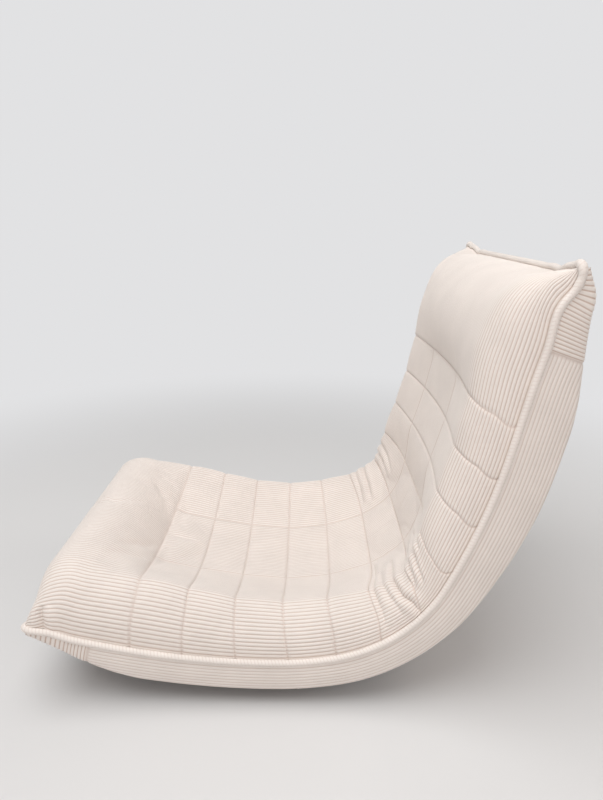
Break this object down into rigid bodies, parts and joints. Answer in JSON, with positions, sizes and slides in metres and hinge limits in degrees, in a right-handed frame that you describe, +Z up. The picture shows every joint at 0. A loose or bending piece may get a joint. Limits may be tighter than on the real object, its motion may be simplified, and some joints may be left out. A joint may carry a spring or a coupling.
{
  "type": "swivel recliner",
  "caption": "Low quilted corduroy floor chair with an L-shaped padded seat and back, ratchet recline hinges and a swivelling steel ring base.",
  "frame": {"origin": "on the floor under the middle of the chair, on the swivel axis", "axes": "+X to the sitter's left, -Y is the front of the seat, +Z up"},
  "size_m": [0.57, 0.8089, 0.7039],
  "materials": {
    "corduroy": "wide-rib ivory corduroy",
    "lining": "black non-woven dust cloth",
    "foam": "polyurethane foam",
    "webbing": "woven elastic strap",
    "black_steel": "black powder coat",
    "zinc": "zinc plate",
    "rubber": "matt black rubber"
  },
  "bodies": {
    "base": {"base_ring": "black_steel", "base_arm_1": "black_steel", "base_arm_2": "black_steel", "base_arm_3": "black_steel", "base_arm_4": "black_steel", "base_plate": "black_steel", "foot_pad_1": "rubber", "foot_pad_2": "rubber", "foot_pad_3": "rubber", "foot_pad_4": "rubber", "lower_race": "zinc", "king_bolt": "zinc", "king_nut": "zinc"},
    "ball_cage": {"ball_cage": "zinc"},
    "seat": {"upper_race": "zinc", "swivel_plate": "black_steel", "seat_screw_1": "zinc", "seat_screw_2": "zinc", "seat_screw_3": "zinc", "seat_screw_4": "zinc", "plate_tube_front": "black_steel", "plate_tube_rear": "black_steel", "seat_rail_left": "black_steel", "seat_rail_right": "black_steel", "front_cross_tube": "black_steel", "seat_strap_1": "webbing", "seat_strap_2": "webbing", "seat_strap_3": "webbing", "seat_foam": "foam", "seat_quilt": "corduroy", "seat_band_left": "corduroy", "seat_band_right": "corduroy", "seat_piping": "corduroy", "underside_cloth": "lining", "hinge_seat_plate_left": "black_steel", "hinge_seat_plate_right": "black_steel", "hinge_pin_left": "zinc", "hinge_pin_right": "zinc", "crease_quilt": "corduroy", "hinge_gusset_left": "corduroy", "hinge_gusset_right": "corduroy", "rear_gusset": "corduroy"},
    "back": {"hinge_back_plate_left": "black_steel", "hinge_back_plate_right": "black_steel", "back_rail_left": "black_steel", "back_rail_right": "black_steel", "top_cross_tube": "black_steel", "lower_cross_tube": "black_steel", "back_strap_1": "webbing", "back_strap_2": "webbing", "back_foam": "foam", "back_quilt": "corduroy", "back_band_left": "corduroy", "back_band_right": "corduroy", "rear_cover": "corduroy", "back_piping": "corduroy"},
    "pawl_left": {"pawl_left": "zinc"},
    "pawl_right": {"pawl_right": "zinc"}
  },
  "joints": [
    {"name": "swivel", "type": "hinge", "parent": "base", "child": "seat", "pos_m": [0, 0, 0.0275], "axis": [0, 0, 1], "continuous": true},
    {"name": "cage_roll", "type": "hinge", "parent": "base", "child": "ball_cage", "pos_m": [0, 0, 0.0262], "axis": [0, 0, 1], "continuous": true},
    {"name": "recline", "type": "hinge", "parent": "seat", "child": "back", "pos_m": [0, 0.2339, 0.1501], "axis": [-1, 0, 0], "range_deg": [-12, 66], "deforming": ["crease_quilt", "hinge_gusset_left", "hinge_gusset_right", "rear_gusset"]},
    {"name": "pawl_left_lift", "type": "hinge", "parent": "seat", "child": "pawl_left", "pos_m": [0.2204, 0.2191, 0.1222], "axis": [1, 0, 0], "range_deg": [0, 10], "stiffness_Nm_per_rad": 0.05, "springref_deg": -11.46},
    {"name": "pawl_right_lift", "type": "hinge", "parent": "seat", "child": "pawl_right", "pos_m": [-0.2204, 0.2191, 0.1222], "axis": [1, 0, 0], "range_deg": [0, 10], "stiffness_Nm_per_rad": 0.05, "springref_deg": -11.46}
  ],
  "couplings": [
    {"joint": "cage_roll", "follows": "swivel", "ratio": 0.5},
    {"joint": "pawl_right_lift", "follows": "pawl_left_lift", "ratio": 1}
  ]
}
